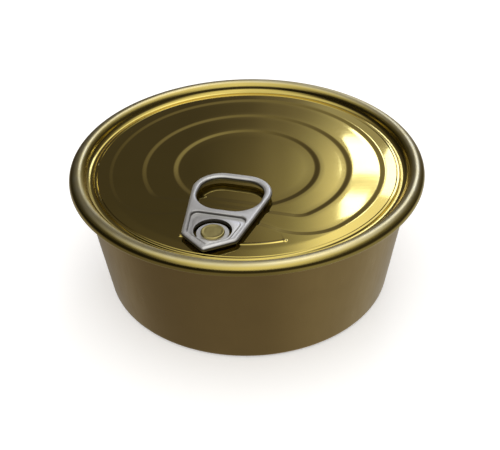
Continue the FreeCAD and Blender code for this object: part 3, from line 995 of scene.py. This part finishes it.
@dataclass
class PullTab:
    """Ring pull: curled edges, sunk web and a tongue freed by a C-shaped slit."""

    reach: float = SEAM_RADIUS - 11.15
    panel_level: float = RIM_LEVEL - 1.6
    lift: float = 0.3
    thickness: float = 1.1
    curl: float = 0.62
    hole_curl: float = 0.5
    edge: Outline = Outline((Corner(0.0, -6.3, 0.7), Corner(5.25, -2.3, 1.7),
                             Corner(8.7, 18.4, 5.6)))
    hole: Outline = Outline((Corner(6.2, 6.2, 4.85), Corner(6.2, 16.75, 4.1)))
    web: Outline = Outline((Corner(0.0, -5.0, 0.6), Corner(4.36, -1.8, 1.3),
                            Corner(5.46, 4.8, 1.3)))
    plateau: Outline = Outline((Corner(0.0, -4.15, 0.6), Corner(3.51, -1.8, 1.3),
                                Corner(4.61, 3.95, 1.3)))
    web_floor: float = 0.8
    plateau_level: float = 0.97
    tongue_level: float = 0.4
    tongue_radius: float = 2.95
    slit_width: float = 0.55
    slit_opening: float = 45.0              # degrees from the nose's line, as the ramp's
    wall_insets: Point = (-0.14, 0.2)       # of the web's wall, at its top and its foot
    rise_insets: Point = (-0.14, 0.08)      # of the plateau's, at its foot and its top
    dish_radius: float = 3.3
    dish_rows: Tuple[float, ...] = (3.2, 3.1, 2.95, 2.8, 2.6, 2.4, 2.2, 1.8, 1.0)
    dish_gap: float = 0.08
    dish_lip: float = 0.03
    ramp_reach: float = 0.75
    ramp_margin: float = 6.0
    ramp_blend: float = 14.0
    foot_rows: Tuple[Point, ...] = ((3.15, 0.04), (3.05, 0.0))
    overcut: float = 0.5
    segments: int = 96
    curl_rows: int = 19
    slope_steps: int = 6
    slit_rows: int = 73
    slit_end_rows: int = 9

    @property
    def top(self) -> float:
        """Level of the tab's flat upper side over the panel."""
        return self.lift + self.thickness

    def curled_edge(self, shell: Shell, outline: Outline, curl: float,
                    inward: float) -> List[Array]:
        """Rings over a rolled edge, from the underside to the upper side.

        Args:
            shell: where the rings go.
            outline: the edge's outermost line.
            curl: the roll's width.
            inward: 1 where the metal lies inside the outline, -1 where it lies outside.

        Returns:
            The rings' numbers.
        """
        half = self.thickness / 2
        rings = []
        for turn in np.linspace(-math.pi / 2, math.pi / 2, self.curl_rows):
            inset = curl * (1.0 - math.cos(turn)) * inward
            level = self.lift + half + half * math.sin(turn)
            rings.append(shell.level_ring(outline.loop(inset), level))
        return rings

    def slope(self, shell: Shell, outline: Outline, insets: Point,
              levels: Point) -> List[Array]:
        """Rings down or up an S-shaped wall.

        Args:
            shell: where the rings go.
            outline: the wall's line.
            insets: the wall's insets at its start and its end.
            levels: its levels there.

        Returns:
            The rings' numbers.
        """
        rings = []
        for share in np.linspace(0.0, 1.0, self.slope_steps + 1):
            inset = insets[0] + (insets[1] - insets[0]) * share
            level = levels[0] + (levels[1] - levels[0]) * float(ease(np.array(share)))
            rings.append(shell.level_ring(outline.loop(inset), level))
        return rings

    def dish(self, shell: Shell) -> List[Array]:
        """Rings from the plateau down to the tongue, with a ramp at the slit's opening.

        Args:
            shell: where the rings go.

        Returns:
            The rings' numbers.
        """
        angles = even_turn(self.segments)
        off_nose = np.degrees(np.abs((angles + math.pi) % (2 * math.pi) - math.pi))
        ramp = ease((self.slit_opening + self.ramp_margin - off_nose) / self.ramp_blend)
        start = self.tongue_radius + self.dish_gap - self.ramp_reach * ramp
        rings = []
        for reach in (self.dish_radius, *self.dish_rows):
            share = ease((reach - start) / (self.dish_radius - self.dish_lip - start))
            level = self.tongue_level + (self.plateau_level - self.tongue_level) * share
            rings.append(shell.ring(ring_round(angles, reach, level)))
        return rings

    def slit_cutter(self) -> bpy.types.Object:
        """A C-shaped bar as wide as the slit, which cuts the tongue free.

        Returns:
            The bar, which is removed once it has cut.
        """
        middle = self.tongue_radius + self.slit_width / 2
        half = self.slit_width / 2
        opening = math.radians(self.slit_opening)
        turn = np.linspace(opening, 2 * math.pi - opening, self.slit_rows)
        swing = np.linspace(0.0, math.pi, self.slit_end_rows)[1:-1]
        ends = []
        for angle, sense in ((turn[-1], 1.0), (turn[0], -1.0)):
            centre = ring_round(np.array([angle]), middle, 0.0)[0, :2]
            out = np.array((math.sin(angle), -math.cos(angle)))
            ahead = np.array((math.cos(angle), math.sin(angle))) * sense
            ends.append(np.array([centre + half * (math.cos(item) * out * sense
                                                   + math.sin(item) * ahead) for item in swing]))
        loop = np.concatenate((ring_round(turn, middle + half, 0.0)[:, :2], ends[0],
                               ring_round(turn[::-1], middle - half, 0.0)[:, :2], ends[1]))
        shell = Shell()
        low = shell.level_ring(loop, -self.overcut)
        high = shell.level_ring(loop, self.top + self.overcut)
        shell.band(low, high)
        shell.fill(low, [], up=False)
        shell.fill(high, [], up=True)
        return shell.piece("slit_cutter", bpy.data.materials.new("slit_cutter"),
                           shift=(0.0, -self.reach, self.panel_level))

    def blank(self) -> bpy.types.Object:
        """The tab before its tongue is cut free.

        Returns:
            The closed blank.
        """
        shell = Shell()
        outer = self.curled_edge(shell, self.edge, self.curl, 1.0)
        shell.bands(outer)
        inner = self.curled_edge(shell, self.hole, self.hole_curl, -1.0)
        shell.bands(inner[::-1])
        wall = self.slope(shell, self.web, self.wall_insets, (self.top, self.web_floor))
        rise = self.slope(shell, self.plateau, self.rise_insets,
                          (self.web_floor, self.plateau_level))
        shell.bands(wall + rise)
        shell.fill(outer[-1], [inner[-1], wall[0]], up=True)
        dish = self.dish(shell)
        shell.fill(rise[-1], [dish[0]], up=True)
        shell.bands(dish)
        shell.fan(dish[-1], (0.0, 0.0, self.tongue_level))
        angles = even_turn(self.segments)
        foot = [shell.ring(ring_round(angles, reach, level))
                for reach, level in ((self.dish_radius, self.lift), *self.foot_rows)]
        shell.bands(foot[::-1])
        shell.fan(foot[-1], (0.0, 0.0, 0.0), outward=False)
        shell.fill(outer[0], [inner[0], foot[0]], up=False)
        return shell.piece("pull_tab_ring", TAB_SILVER.material(),
                           shift=(0.0, -self.reach, self.panel_level))

    def build(self) -> bpy.types.Object:
        """Makes the piece.

        Returns:
            The pull tab.
        """
        tab = self.blank()
        cutter = self.slit_cutter()
        cut = tab.modifiers.new("slit", "BOOLEAN")
        cut.object = cutter
        cut.operation = "DIFFERENCE"
        cut.solver = "EXACT"
        bpy.context.view_layer.update()
        seen = tab.evaluated_get(bpy.context.evaluated_depsgraph_get())
        mesh = bpy.data.meshes.new_from_object(seen)
        tab.modifiers.clear()
        tab.data = mesh
        mesh.set_sharp_from_angle(angle=math.radians(SHARP_ANGLE))
        bpy.data.objects.remove(cutter)
        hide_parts("pull_tab")
        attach(tab, "root")
        return tab


# ---- studio

def bearing(turn: float, elevation: float) -> Vector:
    """Unit vector towards a place in the studio.

    Args:
        turn: degrees to the right of straight ahead, as the viewer looks.
        elevation: degrees above the horizon.

    Returns:
        The direction.
    """
    azimuth = math.radians(90.0 + VIEW_TURN - turn)
    rise = math.radians(elevation)
    return Vector((math.cos(azimuth) * math.cos(rise), math.sin(azimuth) * math.cos(rise),
                   math.sin(rise)))


DAYLIGHT: Colour = (0.86, 0.96, 1.4)


@dataclass(frozen=True)
class Card:
    """A flat glowing card of the studio, which faces the can."""

    name: str
    turn: float
    elevation: float
    width: float          # degrees as seen from the can
    height: float
    strength: float
    colour: Colour = WHITE
    distance: float = 1.6

    def build(self) -> None:
        """Makes the card."""
        material = bpy.data.materials.new(self.name)
        tree = Tree(material)
        glow = tree.add("ShaderNodeEmission", {}, {"Color": self.colour,
                                                   "Strength": self.strength})
        tree.add("ShaderNodeOutputMaterial", {}, {"Surface": glow})
        wide = math.tan(math.radians(self.width / 2)) * self.distance
        tall = math.tan(math.radians(self.height / 2)) * self.distance
        card = sheet(material, wide, tall)
        way = bearing(self.turn, self.elevation)
        card.matrix_world = (Matrix.Translation(way * self.distance)
                             @ way.to_track_quat("Z", "Y").to_matrix().to_4x4())
        card.visible_camera = False
        card.visible_shadow = False


class Axis(Enum):
    """A way through the studio: degrees to the right of straight ahead, and of elevation."""

    RIGHT = (90.0, 0.0)
    AHEAD = (0.0, 0.0)
    UP = (0.0, 90.0)


RIGHT, AHEAD, UP = Axis


@dataclass(frozen=True)
class Ramp:
    """A smooth rise over how far a direction reaches along an axis, from -1 to 1."""

    axis: Axis
    low: float
    high: float
    least: float = 0.0    # the share that is left at the low end


@dataclass(frozen=True)
class Glow:
    """A part of the surroundings that shines, as a product of ramps."""

    strength: float
    ramps: Tuple[Ramp, ...]

    def level(self, along: Dict[Axis, Signal]) -> Signal:
        """How brightly it shines.

        Args:
            along: how far the direction reaches along each axis.

        Returns:
            The brightness.
        """
        level = None
        for ramp in self.ramps:
            share = along[ramp.axis].rise(ramp.low, ramp.high)
            if ramp.least:
                share = share * (1.0 - ramp.least) + ramp.least
            level = share if level is None else level * share
        return level * self.strength


WALL = (Ramp(UP, 0.47, 0.56, 0.3), Ramp(AHEAD, 0.0, 0.4), Ramp(RIGHT, 0.4, 0.2))
BELOW = Ramp(UP, -0.1, -0.4)
DARK_LEFT = Ramp(RIGHT, -0.5, -0.28, 0.35)
GLOWS = (
    Glow(0.035, (DARK_LEFT,)),  # all round
    Glow(0.03, (DARK_LEFT, Ramp(UP, 0.2, 0.45))),
    Glow(0.15, (Ramp(RIGHT, -0.06, 0.05), *WALL)),  # wall's soft edge
    Glow(0.95, (Ramp(RIGHT, 0.03, 0.12), *WALL)),  # wall
    Glow(0.04, (Ramp(RIGHT, 0.0, 0.03), Ramp(RIGHT, 0.07, 0.04), Ramp(AHEAD, 0.3, 0.6))),
    Glow(0.2, (Ramp(UP, 0.55, 0.75), Ramp(RIGHT, -0.08, 0.08, 0.2))),  # top of the wall
    Glow(0.76, (Ramp(UP, 0.6, 0.95), Ramp(AHEAD, 0.8, 0.2))),  # ceiling
    Glow(0.75, (Ramp(UP, 0.35, 0.62), Ramp(AHEAD, -0.3, -0.85))),  # behind the camera
    Glow(0.28, (Ramp(UP, 0.35, 0.05), Ramp(UP, -0.6, 0.0), Ramp(AHEAD, 0.75, 0.97),
                Ramp(RIGHT, -0.35, 0.0, 0.25))),  # low, ahead
    Glow(0.125, (BELOW,)),  # under the level
    Glow(0.11, (BELOW, Ramp(RIGHT, 0.1, 0.6))),
    Glow(0.14, (BELOW, Ramp(AHEAD, 0.0, 0.5))),
)


@dataclass
class Studio:
    """Pale floor, soft surroundings and glowing cards."""

    floor_size: float = 6.0       # metres
    floor_colour: Colour = (0.93, 0.93, 0.92)
    floor_roughness: float = 0.9
    floor_glow: float = 0.35
    diffuse_glow: float = 0.6     # added where the light is scattered
    tint_range: Point = (0.05, 0.4)
    tints: Tuple[Colour, Colour] = ((1.0, 0.9, 0.86), (1.0, 1.0, 0.98))    # dim and bright
    cards: Tuple[Card, ...] = (
        Card("window_left_pane", 8.9, 32.3, 3.0, 2.3, 4.4, DAYLIGHT),
        Card("window_low_pane", 8.7, 35.7, 2.4, 1.9, 4.4, DAYLIGHT),
        Card("window_right_pane", 18.2, 32.2, 8.4, 7.6, 3.3, DAYLIGHT),
        Card("window_far_pane", 26.0, 28.0, 7.0, 10.0, 0.5, DAYLIGHT),
    )

    def floor(self) -> None:
        """Makes the floor."""
        material = bpy.data.materials.new("floor")
        tree = Tree(material)
        surface = tree.add("ShaderNodeBsdfPrincipled", {}, {
            "Base Color": self.floor_colour, "Roughness": self.floor_roughness,
            "Emission Color": WHITE, "Emission Strength": self.floor_glow})
        tree.add("ShaderNodeOutputMaterial", {}, {"Surface": surface})
        floor = sheet(material, self.floor_size / 2, self.floor_size / 2)
        floor.visible_glossy = False

    def surroundings(self) -> None:
        """Makes a room that is white to look at and darker on the left in reflections."""
        world = bpy.data.worlds.new("studio")
        bpy.context.scene.world = world
        tree = Tree(world)
        way = tree.add("ShaderNodeTexCoord", {}, {}, "Generated")
        along = {axis: way.dot(bearing(*axis.value)) for axis in Axis}
        levels = [glow.level(along) for glow in GLOWS]
        glow = sum(levels[1:], levels[0])
        eye = tree.add("ShaderNodeLightPath", {}, {}, "Is Camera Ray")
        diffuse = tree.add("ShaderNodeLightPath", {}, {}, "Is Diffuse Ray")
        level = glow + diffuse * self.diffuse_glow
        level = level + (1.0 - level) * eye
        tint = tree.blend(glow.rise(*self.tint_range), *self.tints)
        sky = tree.add("ShaderNodeBackground", {}, {
            "Color": tree.blend(eye, tint, WHITE), "Strength": level})
        tree.add("ShaderNodeOutputWorld", {}, {"Surface": sky})

    def build(self) -> None:
        """Sets up the floor, the cards and the surroundings."""
        self.floor()
        for card in self.cards:
            card.build()
        self.surroundings()
        bpy.context.scene.view_settings.view_transform = "Standard"


@dataclass
class Viewpoint:
    """Camera in front of the can and above it, a little to the right of the nose."""

    lens: float = 71.57
    elevation: float = 35.75
    roll: float = -1.35
    distance: float = 6.06        # in seam radii
    shift_right: float = 0.0055
    shift_up: float = 0.2395
    sensor: float = 36.0
    clip: Point = (0.01, 20.0)

    def build(self) -> None:
        """Makes the camera."""
        rise, roll = math.radians(self.elevation), math.radians(self.roll)
        back = Vector((0.0, -math.cos(rise), math.sin(rise)))
        right = Vector((1.0, 0.0, 0.0))
        up = Vector((0.0, math.sin(rise), math.cos(rise)))
        turned_right = right * math.cos(roll) + up * math.sin(roll)
        turned_up = up * math.cos(roll) - right * math.sin(roll)
        place = back * self.distance + turned_right * self.shift_right + turned_up * self.shift_up
        place *= SEAM_RADIUS * MM
        data = bpy.data.cameras.new("viewpoint")
        data.lens = self.lens
        data.sensor_width = self.sensor
        data.clip_start, data.clip_end = self.clip
        camera = bpy.data.objects.new("viewpoint", data)
        bpy.context.collection.objects.link(camera)
        turn = Matrix((turned_right, turned_up, back)).transposed().to_4x4()
        camera.matrix_world = (Matrix.Rotation(math.radians(VIEW_TURN), 4, "Z")
                               @ Matrix.Translation(place) @ turn)
        bpy.context.scene.camera = camera


def main() -> None:
    """Builds the can, its lid and its tab, then the studio."""
    logging.basicConfig(level=logging.INFO, format="%(name)s: %(message)s")
    for part in (CanBody(), SeamedLid(), Rivet(), PullTab()):
        piece = part.build()
        LOG.info("%s: %d faces", piece.name, len(piece.data.polygons))
    Studio().build()
    Viewpoint().build()


if __name__ == "__main__":
    main()
